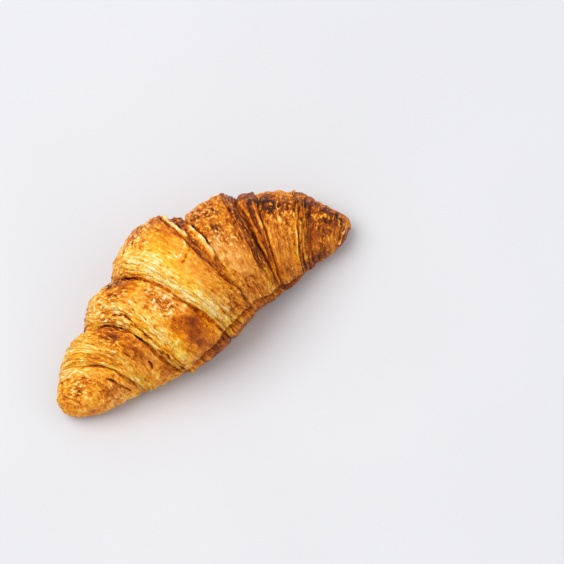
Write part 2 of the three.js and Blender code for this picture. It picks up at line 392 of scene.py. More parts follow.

# Cuts, torn pale layers and warm lines that cross the pattern above, each along a line of (share of the length,
# angle) points: kind, half width mm, relief mm, strength, points. The cuts are darkened with browning and painted
# shade; the pale lines are cream layers and painted highlights on edges.
STROKES = (
    ("cut", 0.55, -1.20, 1.15, ((0.114, 84), (0.131, 90), (0.151, 101), (0.176, 121), (0.188, 138), (0.199, 156), (0.206, 180))),
    ("cream_and_highlight", 0.90, 0.75, 0.78, ((0.135, 85), (0.163, 100), (0.186, 118), (0.201, 135), (0.211, 152), (0.223, 174), (0.230, 194))),
    ("cut", 0.50, -0.90, 1.05, ((0.143, 124), (0.158, 136), (0.166, 152), (0.177, 169), (0.182, 181))),
    ("cream_and_highlight", 0.60, 0.35, 0.55, ((0.143, 117), (0.161, 131), (0.174, 148), (0.185, 166))),
    ("cut", 0.35, -0.30, 0.60, ((0.074, 130), (0.081, 144))),
    ("cut", 0.35, -0.30, 0.50, ((0.029, 99), (0.024, 119), (0.031, 138))),
    ("cut", 0.60, -1.20, 1.20, ((0.271, 144), (0.271, 152), (0.264, 157))),
    ("cut", 0.30, -0.25, 0.45, ((0.260, 120), (0.255, 134), (0.256, 150), (0.250, 169))),
    ("cream_and_highlight", 0.70, 0.35, 0.70, ((0.106, 24), (0.135, 54), (0.173, 83), (0.196, 96), (0.211, 108))),
    ("cream_and_highlight", 0.60, 0.30, 0.55, ((0.150, 26), (0.173, 62), (0.205, 86), (0.220, 95))),
    ("warm", 1.00, -0.25, 1.00, ((0.104, 47), (0.128, 68), (0.159, 88), (0.188, 107), (0.200, 123), (0.210, 144))),
    ("cream_and_highlight", 0.80, 0.40, 0.74, ((0.080, 34), (0.105, 61), (0.128, 78))),
    ("warm", 0.80, -0.20, 0.50, ((0.131, 25), (0.158, 62), (0.190, 86), (0.215, 101))),
    ("cut", 0.45, -0.60, 0.85, ((0.274, 82), (0.297, 90), (0.307, 96), (0.309, 104), (0.315, 112), (0.315, 122), (0.321, 128))),
    ("cut", 0.55, -0.80, 0.85, ((0.251, 83), (0.268, 98), (0.286, 108), (0.296, 121), (0.309, 130), (0.314, 140), (0.325, 150), (0.326, 162), (0.346, 184), (0.356, 198))),
    ("cream_and_highlight", 0.80, 0.40, 0.70, ((0.280, 89), (0.295, 96), (0.300, 106), (0.309, 117), (0.316, 130), (0.323, 142))),
    ("cream_and_highlight", 0.70, 0.35, 0.60, ((0.315, 96), (0.320, 105), (0.328, 115), (0.333, 127), (0.339, 141), (0.349, 156), (0.359, 174))),
    ("cut", 0.30, -0.30, 0.60, ((0.325, 138), (0.334, 147), (0.339, 162), (0.349, 175))),
    ("cut", 0.35, -0.30, 0.50, ((0.374, 154), (0.388, 166))),
    ("cream_and_highlight", 0.60, 0.30, 0.60, ((0.254, 26), (0.275, 54), (0.289, 68))),
    ("cream_and_highlight", 0.50, 0.25, 0.55, ((0.240, 26), (0.264, 58), (0.286, 76))),
    ("warm", 0.60, -0.20, 0.50, ((0.233, 38), (0.247, 57), (0.275, 74), (0.295, 86))),
    ("cream_and_highlight", 0.60, 0.30, 0.55, ((0.220, 46), (0.246, 66), (0.266, 81))),
    ("cut", 0.30, -0.30, 0.50, ((0.316, 26), (0.340, 44), (0.370, 58), (0.388, 67))),
    ("cream_and_highlight", 0.42, 0.60, 0.85, ((0.550, 39), (0.555, 60), (0.561, 76), (0.566, 85))),
    ("cream_and_highlight", 0.42, 0.90, 1.35, ((0.565, 82), (0.560, 88), (0.545, 90), (0.531, 92), (0.519, 92), (0.518, 87))),
    ("cut", 0.35, -0.50, 0.75, ((0.571, 84), (0.565, 91), (0.548, 93), (0.531, 96), (0.514, 95))),
    ("cut", 0.50, -0.80, 0.95, ((0.562, 30), (0.557, 68), (0.568, 84), (0.574, 96), (0.581, 111), (0.590, 128), (0.603, 146), (0.603, 154), (0.603, 166))),
    ("cream_and_highlight", 0.80, 1.10, 1.50, ((0.566, 30), (0.569, 58), (0.573, 72), (0.578, 82))),
    ("cut", 0.50, -0.60, 0.70, ((0.584, 54), (0.584, 72), (0.586, 87), (0.589, 97))),
    ("cream_and_highlight", 0.95, 1.50, 1.25, ((0.601, 61), (0.604, 77), (0.604, 88), (0.601, 99), (0.601, 108))),
    ("cream_and_highlight", 0.60, 0.35, 0.60, ((0.601, 108), (0.604, 119), (0.606, 132), (0.608, 144))),
    ("cut", 0.50, -0.80, 1.00, ((0.613, 60), (0.616, 78), (0.616, 92), (0.610, 103), (0.606, 115), (0.608, 128), (0.613, 140), (0.613, 153), (0.609, 166))),
    ("cream_and_highlight", 0.45, 0.30, 0.60, ((0.740, 53), (0.724, 81), (0.720, 94), (0.723, 107), (0.711, 121), (0.713, 136), (0.706, 155), (0.709, 172))),
    ("cut", 0.50, -0.50, 0.85, ((0.728, 63), (0.720, 82), (0.723, 99), (0.721, 112), (0.714, 126), (0.714, 143))),
    ("cut", 0.80, -1.00, 1.00, ((0.743, 44), (0.744, 72), (0.746, 86), (0.748, 97), (0.741, 110), (0.745, 124), (0.748, 142), (0.744, 166))),
    ("cream_and_highlight", 0.50, 0.40, 0.55, ((0.756, 48), (0.759, 68), (0.763, 86), (0.761, 96), (0.756, 113), (0.756, 132))),
    ("cut", 0.45, -0.50, 0.85, ((0.776, 59), (0.771, 82), (0.769, 96), (0.770, 108), (0.764, 126), (0.760, 146))),
    ("cream_and_highlight", 0.60, 0.50, 0.90, ((0.790, 48), (0.784, 74), (0.780, 90), (0.779, 102), (0.774, 116), (0.766, 134))),
    ("cut", 0.50, -0.50, 0.90, ((0.800, 52), (0.792, 80), (0.790, 94), (0.785, 112), (0.776, 129), (0.769, 150), (0.760, 168))),
    ("cut", 0.40, -0.40, 0.70, ((0.884, 24), (0.885, 67), (0.880, 88))),
    ("cream_and_highlight", 0.45, 0.40, 0.85, ((0.893, 66), (0.886, 86), (0.879, 100), (0.871, 118), (0.861, 138), (0.854, 158))),
    ("cut", 0.40, -0.50, 0.75, ((0.897, 72), (0.890, 94), (0.881, 115), (0.873, 137), (0.863, 162), (0.854, 180))),
    ("cut", 0.40, -0.50, 0.50, ((0.873, 88), (0.873, 90))),
    ("cut", 0.35, -0.30, 0.50, ((0.916, 70), (0.912, 98), (0.902, 124), (0.886, 148))),
    ("cream_and_highlight", 0.40, 0.20, 0.40, ((0.906, 72), (0.900, 98), (0.889, 126), (0.874, 152))),
    ("cut", 0.35, -0.25, 0.45, ((0.927, 73), (0.924, 102), (0.912, 134), (0.894, 159))),
    ("cut", 0.35, -0.35, 0.70, ((0.644, 142), (0.645, 148), (0.657, 154), (0.647, 162))),
    ("cut", 0.35, -0.35, 0.60, ((0.644, 142), (0.657, 138), (0.675, 140), (0.676, 146))),
    ("cut", 0.40, -0.40, 0.80, ((0.539, 154), (0.556, 153), (0.584, 156))),
    ("cut", 0.35, -0.35, 0.60, ((0.571, 139), (0.565, 146), (0.547, 148))),
    ("cut", 0.35, -0.30, 0.50, ((0.579, 145), (0.575, 151))),
    ("cream_and_highlight", 0.60, 0.60, 1.0, ((0.998, 69), (0.996, 114), (0.990, 139), (0.983, 160), (0.976, 170))),
    ("cut", 0.50, -0.40, 0.60, ((0.998, 110), (0.994, 146), (0.987, 168), (0.978, 182))),
)

BASE_SHAPE = crust(S, DEG2, 0 * R)[0]  # the strokes are laid out on the plain roll
_line_s = np.linspace(0, 1, 1201)
warm = np.zeros_like(S)


def line_of(points):
    """The points of a stroke on the crust, in mm, about 1 mm apart."""
    s = np.array([p[0] for p in points])
    d = np.array([p[1] for p in points], float)
    key = np.arange(len(points))
    fine = np.linspace(0, len(points) - 1, 6 * (len(points) - 1) + 1)
    s, d = curve(key, s, fine), curve(key, d, fine)
    return crust(s, d, np.zeros_like(s))[0]


def stroke(kind, width, lift, strength, points, number):
    global relief, burnt_and_shaded, cream_and_highlight, warm
    line = line_of(points)
    lo, hi = line.min(0) - 9, line.max(0) + 9
    near = ((BASE_SHAPE > lo) & (BASE_SHAPE < hi)).all(-1)
    if not near.any():
        return
    q = BASE_SHAPE[near]
    wander = 0.5 * fbm(ROLL[near] / 3.0, GIRTH[near] / 3.0, 2, 200)
    best = np.full(len(q), 1e9)
    where_on = np.zeros(len(q))
    a, b = line[:-1], line[1:]
    for k in range(len(a)):
        ab = b[k] - a[k]
        t = np.clip(((q - a[k]) @ ab) / (ab @ ab + 1e-9), 0, 1)
        r = np.linalg.norm(q - a[k] - t[:, None] * ab, axis=-1)
        closer = r < best
        best = np.where(closer, r, best)
        where_on = np.where(closer, (k + t) / len(a), where_on)
    ends = smooth(-0.02, 0.12, where_on) * (1 - smooth(0.88, 1.02, where_on))
    rough_ends = 0.75 + 0.5 * noise(where_on * 9, where_on * 0 + number, 210)
    r = np.abs(best + wander * 0.35)
    shape = np.exp(-((r / width) ** 4)) * ends * rough_ends
    relief[near] += lift * shape
    if kind == "cut":
        burnt_and_shaded[near] = np.maximum(burnt_and_shaded[near], strength * shape)
    elif kind == "cream_and_highlight":
        cream_and_highlight[near] = np.maximum(cream_and_highlight[near], strength * shape)
    else:
        warm[near] = np.maximum(warm[near], strength * shape)


for number, (kind, width, lift, strength, points) in enumerate(STROKES):
    stroke(kind, width, lift, strength, points, number)


# places where the glaze lies smooth: place, reach along and round
CALM_AT = (
    (0.525, 108, 0.04, 24),
    (0.55, 75, 0.02, 16),
    (0.425, 143, 0.045, 20),
    (0.375, 85, 0.02, 12),
    (0.67, 122, 0.035, 22),
    (0.82, 130, 0.025, 26),
    (0.275, 145, 0.03, 16),
    (0.91, 130, 0.02, 30),
    (0.48, 5, 0.05, 18),
    (0.68, -15, 0.04, 18),
    (0.3, 0, 0.04, 20),
)
calm = 0.0 * S
for at, deg, along, around in CALM_AT:
    calm = calm + np.exp(-(((S - at) / along) ** 2 + ((DEG2 - deg) / around) ** 2) ** 1.5)
calm = np.clip(calm * (1 + 0.35 * fbm(ROLL / 7, GIRTH / 7, 3, 275)), 0, 1)

# the ledge: the lowest flap of dough ends in a ragged edge above a strip that lies outside it
LEDGE_S = (0.30, 0.36, 0.385, 0.414, 0.445, 0.471, 0.509, 0.544, 0.58, 0.631, 0.669, 0.713, 0.75, 0.794, 0.836, 0.9)
LEDGE_DEG = (186, 179, 175, 172, 167, 165, 166, 167, 167, 168, 170, 174, 180, 184, 186, 189)
ledge_at = np.interp(S[top_row], LEDGE_S, LEDGE_DEG)
ledge_girth = np.array([np.interp(a, DEG[:, 0], GIRTH[:, k]) for k, a in enumerate(ledge_at)])
below = GIRTH - ledge_girth[None] + 0.9 * fbm(ROLL / 6.0, 0 * ROLL + 4.4, 4, 260)
ledge_zone = smooth(0.33, 0.37, S) * (1 - smooth(0.82, 0.87, S)) * (0.7 + 0.4 * noise(ROLL / 8, 0 * ROLL, 262))
ledge_zone = ledge_zone * (1 - smooth(15, 20, np.abs(below)))
relief = relief + ledge_zone * np.where(below < 0, 0.6 * np.exp(below / 3.0), 0)
relief = relief - 1.9 * ledge_zone * bell(below, 0.9, 1.4)
relief = relief + 1.5 * ledge_zone * smooth(1.4, 4.0, below) * (1 - smooth(6, 14, below))
# painted shadow in the gap under the flap's ragged edge, and a painted highlight along that edge
burnt_and_shaded = np.maximum(burnt_and_shaded, 1.0 * ledge_zone * bell(below, 0.7, 1.2))
cream_and_highlight = np.maximum(cream_and_highlight, 0.4 * ledge_zone * bell(below, -0.7, 0.6))
cream_and_highlight = np.maximum(cream_and_highlight, 0.7 * ledge_zone * bell(below, 4.0, 1.2) * noise(ROLL / 3, 0 * ROLL, 264))
strand = below / 2.3 + 0.5 * fbm(ROLL / 16, GIRTH / 8, 3, 266)
strand = strand - np.floor(strand)
on_ledge = ledge_zone * smooth(2.0, 3.5, below)
relief = relief + 0.22 * on_ledge * (smooth(0, 0.3, strand) * (1 - strand) - 0.3)
# strands on the strip, each darkened at its foot with painted shade
burnt_and_shaded = np.maximum(burnt_and_shaded, 0.4 * on_ledge * bell(strand, 0.05, 0.1) * noise(ROLL / 7, GIRTH / 4, 268))


def terraces(along, around, levels, height, where, seed, shade_and_burn, shine):
    """Edges of thin baked layers: contour lines of a slow field, long round the roll, each one a small step up with
    painted shade at its foot and a pale rim that is partly a painted highlight."""
    global relief, burnt_and_shaded, cream_and_highlight
    bend = 0.5 * fbm(ROLL / 11, GIRTH / 9, 2, seed + 1)
    field = levels * fbm(ROLL / along + bend, GIRTH / around + 0.3 * bend, 4, seed)
    f = field - np.floor(field)
    steep = np.abs(np.gradient(field, axis=1))
    seen = where * (1 - smooth(0.16, 0.4, steep)) * (0.25 + 0.95 * noise(ROLL / 5, GIRTH / 9, seed + 2))
    step = smooth(0.0, 0.14, f) * (1 - smooth(0.14, 1.0, f))
    relief = relief + height * (step - 0.4) * seen
    burnt_and_shaded = np.maximum(burnt_and_shaded, shade_and_burn * seen * bell(f, 0.02, 0.06))
    cream_and_highlight = np.maximum(cream_and_highlight, shine * seen * bell(f, 0.2, 0.09))


# the right half and the strip under the ledge are less rough
COARSE = (1 - 0.35 * smooth(0.6, 0.75, S)) * (1 - 0.6 * ledge_zone * smooth(0.0, 2.5, below))
ALL_ROUND = (1 - 0.6 * calm) * COARSE
terraces(9.0, 46.0, 5.0, 0.5, ALL_ROUND, 160, 0.65, 0.55)
terraces(5.0, 17.0, 3.0, 0.3, ALL_ROUND, 170, 0.55, 0.45)

# flaked shells: irregular, longer round the roll than along it, each edge with a pale rim, partly a painted
# highlight, and painted shadow just below it
shell = fbm(ROLL / 8.0, GIRTH / 17.0, 4, 81)
fine_shell = fbm(ROLL / 3.6, GIRTH / 9.0, 4, 83)
for field, level, height in ((shell, 0.05, 0.34), (shell, 0.42, 0.3), (fine_shell, 0.3, 0.16)):
    up = smooth(level - 0.03, level + 0.03, field)
    relief = relief + height * up * 0.8 * COARSE
    rim = bell(field, level + 0.03, 0.035)
    cream_and_highlight = np.maximum(cream_and_highlight, 0.28 * rim * noise(ROLL / 5, GIRTH / 5, 91))
    burnt_and_shaded = np.maximum(burnt_and_shaded, 0.3 * bell(field, level - 0.05, 0.03) * noise(ROLL / 6, GIRTH / 6, 93))

# small flakes in the blistered places: raised bits with pale edges, partly painted highlight, and feet darkened by
# browning and painted shade
chips = fbm(ROLL / 1.9, GIRTH / 4.2, 3, 87)
crumble = np.clip(smooth(0.2, 1.0, fbm(ROLL / 14, GIRTH / 18, 2, 89) + 0.8), 0, 1) * (1 - 0.9 * calm) * COARSE
for level in (-0.15, 0.22, 0.5):
    up = smooth(level - 0.05, level + 0.05, chips)
    relief = relief + 0.2 * crumble * up
    cream_and_highlight = np.maximum(cream_and_highlight, 0.34 * crumble * bell(chips, level + 0.07, 0.05) * noise(ROLL / 4, GIRTH / 6, 95))
    burnt_and_shaded = np.maximum(burnt_and_shaded, 0.34 * crumble * bell(chips, level - 0.07, 0.045) * noise(ROLL / 5, GIRTH / 4, 97))

# blisters under the glaze, and fine streaks round the roll
blister = np.clip(noise(ROLL / 1.35, GIRTH / 1.7, 101) - 0.55, 0, 1) / 0.45
blister2 = np.clip(noise(ROLL / 0.8, GIRTH / 1.2, 103) - 0.6, 0, 1) / 0.4
spots = smooth(-0.35, 0.45, fbm(ROLL / 13, GIRTH / 13, 3, 105))
relief = relief + (0.28 * blister + 0.12 * blister2) * (0.35 + 0.65 * spots) * (1.1 - 0.95 * calm) * COARSE
streak = fbm(ROLL / 1.15, GIRTH / 15, 3, 107)
relief = relief + 0.1 * streak
relief = relief + 0.55 * fbm(ROLL / 17, GIRTH / 21, 2, 109)

# the right tip is slimmer on top and ends in a corner; the outer side of the left half is fuller
# in the plain roll than in the crust
trim = 1.6 * smooth(0.90, 0.945, S) * (1 - smooth(0.970, 0.996, S)) * angle_part(-50, 60, 25)
trim = trim + 1.0 * (1 - smooth(0.42, 0.5, S)) * smooth(0.01, 0.05, S) * angle_part(-50, 42, 18)
trim = trim - 0.95 * smooth(0.978, 0.999, S) * angle_part(-90, 40, 35)
trim = trim + 1.6 * bell(S, 0.886, 0.022) * angle_part(-40, 58, 20)
P = P + NORMAL * (relief * LIFT - trim * smooth(0.5, 4.0, P[..., 2]))[..., None]
P[..., 2] = np.maximum(P[..., 2], 0.0)

# ---- how the oven browned it ----------------------------------------------------
# tone: 0 cream, 0.25 yellow, 0.5 golden brown, 0.75 brown, 1 nearly black; tan: dull, floury crust
# the left half is paler and the right half browner, here and in the patches below: partly the crust's own browning,
# partly painted light falling from the left
tone = 0.35 + 0.11 * smooth(0.5, 0.8, S)
tan = np.full_like(S, 0.12)
# place, reach along and round, change of tone, change of tan
PATCHES = (
    (0.455, 180, 0.03, 14, 0.28, -0.2),
    (0.385, 188, 0.02, 9, -0.06, 0.0),
    (0.75, 160, 0.03, 18, 0.14, -0.2),
    (0.617, 94, 0.012, 26, 0.18, -0.15),
    (0.545, 56, 0.026, 26, 0.18, -0.1),
    (0.401, 116, 0.02, 12, -0.12, 0.0),
    (0.45, 134, 0.018, 14, 0.18, 0.0),
    (0.43, 28, 0.05, 18, -0.14, 0.0),
    (0.235, 84, 0.02, 26, 0.08, 0.0),
    (0.53, 112, 0.04, 26, 0.03, 0.25),
    (0.078, 52, 0.035, 28, -0.2, 0.1),
    (0.138, 84, 0.025, 22, -0.1, 0.0),
    (0.198, 104, 0.02, 18, -0.1, 0.0),
    (0.253, 72, 0.014, 22, -0.14, 0.0),
    (0.324, 88, 0.02, 14, -0.12, 0.1),
    (0.328, 105, 0.014, 16, -0.1, 0.0),
    (0.479, 130, 0.014, 18, -0.14, 0.0),
    (0.485, 146, 0.014, 14, -0.1, 0.0),
    (0.443, 96, 0.02, 16, -0.08, 0.0),
    (0.569, 155, 0.03, 12, 0.1, 0.0),
    (0.818, 58, 0.03, 12, 0.1, 0.0),
    (0.125, 150, 0.04, 26, 0.08, 0.25),
    (0.94, 62, 0.03, 26, 0.18, 0.0),
    (0.615, 54, 0.03, 18, 0.22, 0.0),
    (0.57, 100, 0.03, 30, 0.05, 0.0),
    (0.385, 108, 0.02, 14, -0.14, 0.35),
    (0.443, 94, 0.018, 22, -0.14, 0.0),
    (0.435, 148, 0.03, 16, 0.14, 0.0),
    (0.258, 108, 0.014, 20, 0.2, 0.0),
    (0.092, 50, 0.03, 20, -0.12, 0.0),
    (0.919, 176, 0.03, 18, 0.22, 0.0),
    (0.88, 180, 0.04, 18, 0.3, -0.25),
    (0.147, 155, 0.03, 20, 0.04, 0.3),
    (0.273, 144, 0.02, 16, 0.04, 0.25),
    (0.668, 112, 0.035, 26, 0.0, 0.3),
    (0.56, 40, 0.04, 14, 0.16, 0.0),
    (0.656, 46, 0.03, 14, 0.12, 0.0),
    (0.822, 58, 0.03, 12, 0.14, 0.0),
    (0.3, 50, 0.05, 22, -0.1, 0.0),
    (0.35, 108, 0.03, 24, -0.08, 0.1),
    (0.06, 40, 0.05, 25, -0.08, 0.0),
    (0.5, 95, 0.075, 60, -0.1, 0.0),
    (0.43, 85, 0.03, 50, -0.08, 0.0),
    (0.031, 89, 0.022, 22, 0.18, 0.0),
    (0.143, 158, 0.04, 26, 0.16, 0.55),
    (0.065, 48, 0.04, 22, -0.1, 0.0),
    (0.05, 166, 0.05, 20, 0.06, 0.05),
    (0.156, 90, 0.012, 30, 0.14, 0.2),
    (0.13, 60, 0.03, 25, -0.1, 0.0),
    (0.174, 62, 0.02, 22, -0.06, 0.0),
    (0.245, 90, 0.022, 26, 0.25, 0.0),
    (0.272, 120, 0.012, 14, 0.22, 0.1),
    (0.222, 112, 0.025, 16, 0.04, 0.0),
    (0.27, 143, 0.026, 18, 0.08, 0.75),
    (0.295, 175, 0.03, 14, 0.24, 0.0),
    (0.211, 160, 0.014, 30, -0.12, 0.0),
    (0.29, 98, 0.014, 24, -0.14, 0.3),
    (0.24, 66, 0.02, 16, -0.12, 0.0),
    (0.268, 50, 0.03, 16, -0.14, 0.0),
    (0.335, 62, 0.03, 18, 0.32, 0.0),
    (0.375, 78, 0.024, 16, 0.26, 0.0),
    (0.34, 92, 0.03, 16, -0.06, 0.0),
    (0.41, 106, 0.03, 14, 0.0, 0.75),
    (0.44, 122, 0.02, 12, 0.06, 0.6),
    (0.425, 153, 0.05, 26, 0.42, -0.1),
    (0.395, 130, 0.02, 12, 0.14, 0.0),
    (0.352, 126, 0.02, 22, -0.12, 0.0),
    (0.345, 160, 0.015, 20, -0.14, 0.0),
    (0.42, 70, 0.02, 22, -0.16, 0.0),
    (0.462, 104, 0.022, 26, -0.18, 0.0),
    (0.497, 137, 0.02, 22, -0.16, 0.0),
    (0.445, 60, 0.03, 14, -0.12, 0.0),
    (0.495, 44, 0.05, 12, 0.1, 0.0),
    (0.55, 62, 0.02, 14, 0.08, 0.0),
    (0.526, 80, 0.03, 18, 0.04, 0.0),
    (0.555, 112, 0.025, 16, 0.04, 0.25),
    (0.555, 148, 0.03, 16, 0.18, 0.3),
    (0.506, 152, 0.02, 14, -0.02, 0.2),
    (0.68, 58, 0.04, 20, 0.1, 0.0),
    (0.64, 84, 0.03, 18, 0.1, 0.15),
    (0.668, 116, 0.035, 22, 0.05, 0.9),
    (0.625, 110, 0.014, 18, -0.1, 0.5),
    (0.655, 150, 0.04, 18, 0.13, 0.45),
    (0.614, 163, 0.02, 14, 0.1, 0.4),
    (0.715, 90, 0.01, 60, 0.06, 0.0),
    (0.725, 126, 0.02, 40, 0.2, 0.0),
    (0.814, 66, 0.029, 21, 0.37, -0.3),
    (0.86, 70, 0.02, 18, 0.2, 0.0),
    (0.804, 108, 0.02, 24, 0.1, 0.45),
    (0.851, 108, 0.02, 30, 0.08, 0.15),
    (0.8, 156, 0.03, 18, 0.22, 0.2),
    (0.905, 60, 0.02, 30, 0.26, 0.0),
    (0.905, 115, 0.02, 45, 0.3, 0.15),
    (0.83, 120, 0.04, 50, 0.06, 0.3),
    (0.95, 110, 0.035, 60, 0.08, 0.2),
    (0.88, 168, 0.02, 20, 0.22, 0.1),
    (0.97, 76, 0.02, 24, 0.38, -0.3),
    (0.955, 126, 0.03, 34, 0.16, 0.25),
    (0.93, 168, 0.03, 20, 0.16, 0.2),
    (0.995, 125, 0.015, 60, 0.22, 0.1),
)
for at, deg, along, around, more, dull in PATCHES:
    warp_s = S + 0.012 * fbm(ROLL / 6, GIRTH / 6, 3, 121)
    warp_d = DEG2 + 9 * fbm(ROLL / 6, GIRTH / 6, 3, 123)
    w = np.exp(-(((warp_s - at) / along) ** 2 + ((warp_d - deg) / around) ** 2))
    tone = tone + more * w
    tan = tan + dull * w

# end face of the right tip: a smooth, darker facet
facet = smooth(0.974, 0.982, S + 0.00028 * (DEG2 - 150)) * angle_part(140, 215, 12)
tone = tone + 0.3 * facet

# grooves between the wraps are darker inside: browner crust and painted shade


def groove(first, last, out_first, out_last, more, where=1.0):
    """Darker crust, browner and with painted shade, between two edge lines, each moved by some mm."""
    global tone
    a = D[first] - out_first
    b = D[last] - out_last
    inside = smooth(-0.7, 0.5, a) * (1 - smooth(-0.5, 0.7, b))
    tone = tone + more * where * inside


groove("lip4right", "crease4", -0.4, 0.0, 0.26, angle_part(-40, 175))
groove("lip5", "crease6", 0.2, 0.6, 0.36, angle_part(-50, 140))
groove("lip6", "crease7", 0.0, 0.8, 0.14, angle_part(-50, 200))
groove("crease3", "crease3", -1.4, 0.3, 0.22, angle_part(-50, 200))
groove("crease2", "crease2", -1.6, 0.4, 0.22, angle_part(-50, 200))

# the far side, the flanks near the tray and the base, which the oven browns evenly
far = 1 - smooth(15, 45, DEG2)
tone = tone + 0.09 * far
foot = smooth(174, 177, DEG2) * smooth(0.34, 0.4, S) * (1 - smooth(0.83, 0.88, S))
foot = np.maximum(foot, smooth(192, 204, DEG2))
tone = tone + 0.12 * foot + 0.2 * ledge_zone * smooth(0.5, 2.5, below)
tan = tan + 0.45 * foot
low = 1 - smooth(1.0, 7.0, P[..., 2])
tone = tone + 0.1 * low
tan = tan + 0.25 * low
mottle = fbm(ROLL / 7, GIRTH / 8, 3, 131)
grainy = fbm(ROLL / 1.9, GIRTH / 2.9, 3, 133)
tone = tone + (0.1 + 0.05 * calm) * mottle + (0.13 * streak + 0.07 * grainy) * (1 - 0.6 * calm)
tone = tone - 0.26 * blister * spots * (1 - 0.85 * calm)
tan = tan + 0.22 * fbm(ROLL / 7, GIRTH / 11, 3, 135)
tone = tone + 0.22 * warm
tone = tone - 0.1 * STRIPS
# pale marks lift the tone to yellow or cream: cream for torn flakes, painted highlights on rims and edges
cream = 0.17 - 0.17 * smooth(0.8, 1.15, cream_and_highlight)  # baked layers stay yellow, torn flakes are cream
cover = np.maximum(0.75 * np.clip(cream_and_highlight, 0, 1), 0.95 * smooth(0.75, 1.1, cream_and_highlight))
tone = tone * (1 - cover) + cream * cover
tan = tan + 0.45 * smooth(0.8, 1.15, cream_and_highlight)
# browned lines and painted shade pull the tone to a deep warm brown
warmth = 0.84 + 0.12 * smooth(0.22, 0.34, S)
tone = tone + (0.95 * warmth - tone) * np.clip(burnt_and_shaded, 0, 1) * (1 - 0.4 * np.clip(cream_and_highlight, 0, 1))
tan = tan * (1 - 0.5 * np.clip(burnt_and_shaded, 0, 1))
tan = np.clip(tan, 0, 1)
tone = np.clip(tone, 0, 1)

# where the glaze blistered into small spots: place, reach along and round, amount
SPOTTED = (
    (0.3, 60, 0.06, 32, 1.0),
    (0.66, 70, 0.05, 32, 1.0),
    (0.84, 75, 0.045, 26, 0.8),
    (0.48, 50, 0.08, 20, 0.9),
    (0.05, 100, 0.055, 65, 1.0),
    (0.23, 88, 0.03, 36, 1.0),
    (0.96, 90, 0.04, 45, 0.8),
    (0.41, 106, 0.035, 18, 0.9),
    (0.4, 5, 0.1, 30, 0.6),
    (0.7, 0, 0.07, 30, 0.7),
    (0.15, 10, 0.06, 30, 0.5),
)
spotted = 0.16 + 0.0 * S
for at, deg, along, around, much in SPOTTED:
    spotted = spotted + much * np.exp(-(((S - at) / along) ** 2 + ((DEG2 - deg) / around) ** 2))
spotted = np.clip(spotted * (0.7 + 0.5 * fbm(ROLL / 6, GIRTH / 6, 2, 145)), 0, 1)
spotted = spotted * (1 - 0.7 * calm)
LAYERED = np.clip(0.3 + LAYERED * 0.6 - 0.3 * spotted - 0.26 * calm, 0, 1)

# ---- mesh ---------------------------------------------------------------------
inner = P[:, 1:-1]
rows, cols = inner.shape[:2]
verts = inner.reshape(-1, 3)
tip_left, tip_right = P[:, 0].mean(0), P[:, -1].mean(0)
verts = np.concatenate([verts, [tip_left], [tip_right]]) / 1000.0
index = np.arange(rows * cols).reshape(rows, cols)
nxt = np.roll(index, -1, 0)
quads = np.stack([index[:, :-1], index[:, 1:], nxt[:, 1:], nxt[:, :-1]], -1).reshape(-1, 4)
fan_left = np.stack([np.full(rows, rows * cols), index[:, 0], nxt[:, 0]], -1)
fan_right = np.stack([np.full(rows, rows * cols + 1), nxt[:, -1], index[:, -1]], -1)
volume = np.einsum(
    "ij,ij->i",
    verts[quads[:, 0]],
    np.cross(verts[quads[:, 1]], verts[quads[:, 2]]),
).sum()
if volume < 0:
    quads, fan_left, fan_right = quads[:, ::-1], fan_left[:, ::-1], fan_right[:, ::-1]
mesh = bpy.data.meshes.new("croissant_crust")
mesh.from_pydata(
    verts.tolist(), [], quads.tolist() + fan_left.tolist() + fan_right.tolist()
)
mesh.polygons.foreach_set("use_smooth", np.ones(len(mesh.polygons), bool))
mesh.update()


def attribute(name, grid):
    a = mesh.attributes.new(name, "FLOAT", "POINT")
    v = grid[:, 1:-1].reshape(-1)
    v = np.concatenate([v, [grid[:, 0].mean(), grid[:, -1].mean()]])
    a.data.foreach_set("value", v.astype(np.float32))


attribute("tone", tone)
attribute("tan", tan)
attribute("spotted", spotted)
attribute("layered", LAYERED)
attribute("gloss", np.clip(0.5 + 0.35 * fbm(ROLL / 5, GIRTH / 7, 2, 141) - 0.4 * tan - 0.5 * burnt_and_shaded + 0.5 * calm, 0, 1))
roll = mesh.attributes.new("roll", "FLOAT_VECTOR", "POINT")
vec = np.stack([ROLL[:, 1:-1].reshape(-1), GIRTH[:, 1:-1].reshape(-1), 0 * GIRTH[:, 1:-1].reshape(-1)], -1)
vec = np.concatenate([vec, [[0, 0, 0]], [[ROLL.max(), 0, 0]]])
roll.data.foreach_set("vector", vec.astype(np.float32).reshape(-1))

body = bpy.data.objects.new("croissant_crust", mesh)
bpy.context.scene.collection.objects.link(body)


# ---- materials ------------------------------------------------------------------
def lin(rgb):
    c = np.array(rgb, float) / 255
    c = np.where(c <= 0.04045, c / 12.92, ((c + 0.055) / 1.055) ** 2.4)
    return (float(c[0]), float(c[1]), float(c[2]), 1.0)


